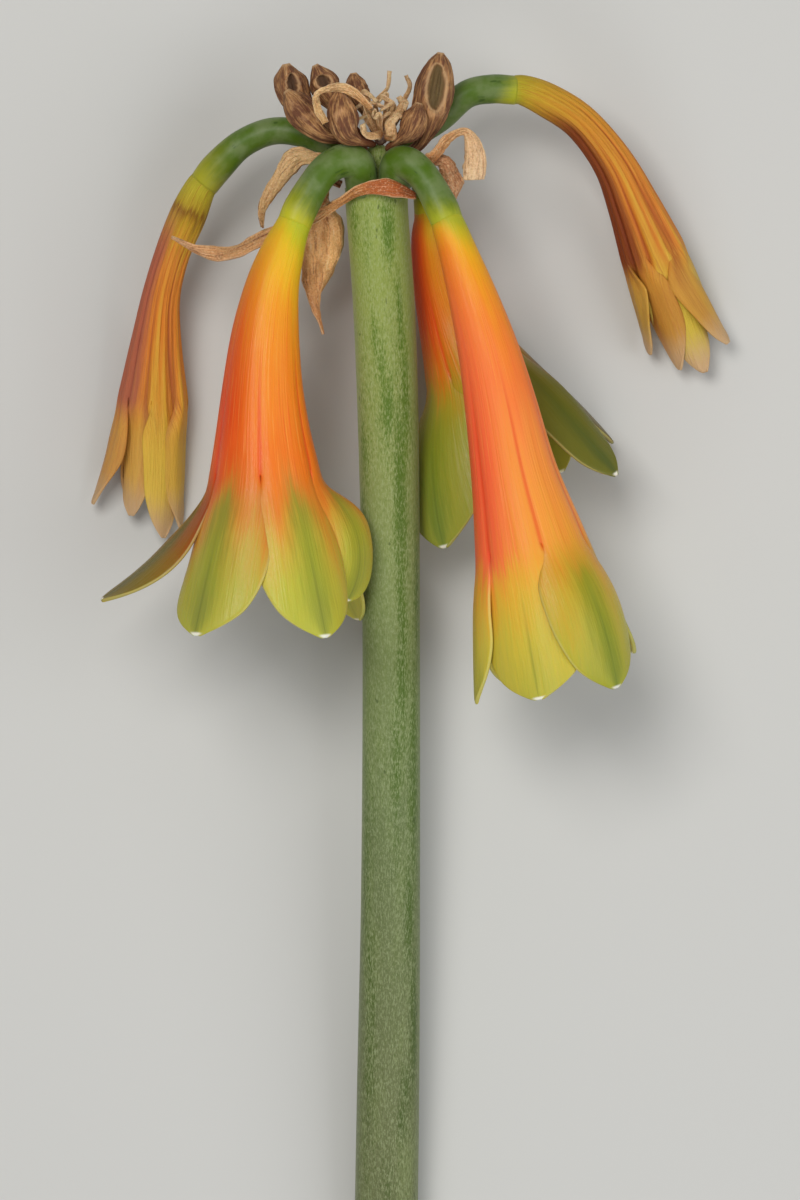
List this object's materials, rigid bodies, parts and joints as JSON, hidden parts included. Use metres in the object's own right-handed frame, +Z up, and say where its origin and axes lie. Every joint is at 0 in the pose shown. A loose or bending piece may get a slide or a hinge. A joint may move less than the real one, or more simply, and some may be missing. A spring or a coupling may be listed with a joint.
{
  "type": "cut cape coast lily stem",
  "caption": "Thick leafless flower stem lying on its back, with a head of hanging tubular lily blooms, dry seed pods and papery bracts.",
  "frame": {"origin": "middle of the bounding box, on the surface that the stem lies on", "axes": "+Y along the stem from its cut foot towards the flower head, +Z up from the surface, +X to the right as seen from above"},
  "size_m": [0.1124, 0.215, 0.0464],
  "materials": {
    "stem_green": "waxy bloom over green",
    "stalk_green": "satin",
    "petal_orange": "satin, waxy",
    "petal_deep": "satin, waxy",
    "wilted_gold": "dull, creased",
    "pod_brown": "dry, matte",
    "bract_tan": "dry, papery"
  },
  "bodies": {
    "root": {"stem": "stem_green", "front_left_stalk": "stalk_green", "front_right_stalk": "stalk_green", "back_right_stalk": "stalk_green", "wilted_left_stalk": "stalk_green", "wilted_right_stalk": "stalk_green", "front_left_perianth": "petal_orange", "front_right_perianth": "petal_orange", "back_right_perianth": "petal_deep", "wilted_left_perianth": "wilted_gold", "wilted_right_perianth": "wilted_gold", "pod_tall_right": "pod_brown", "pod_small_right": "pod_brown", "pod_upper_left": "pod_brown", "pod_tilted_left": "pod_brown", "pod_split": "pod_brown", "pod_egg": "pod_brown", "pod_back": "pod_brown", "bract_long": "bract_tan", "bract_broad": "bract_tan", "bract_thin": "bract_tan", "bract_folded": "bract_tan", "bract_curled": "bract_tan", "ribbon_left": "bract_tan", "bractlets": "bract_tan"}
  },
  "joints": []
}
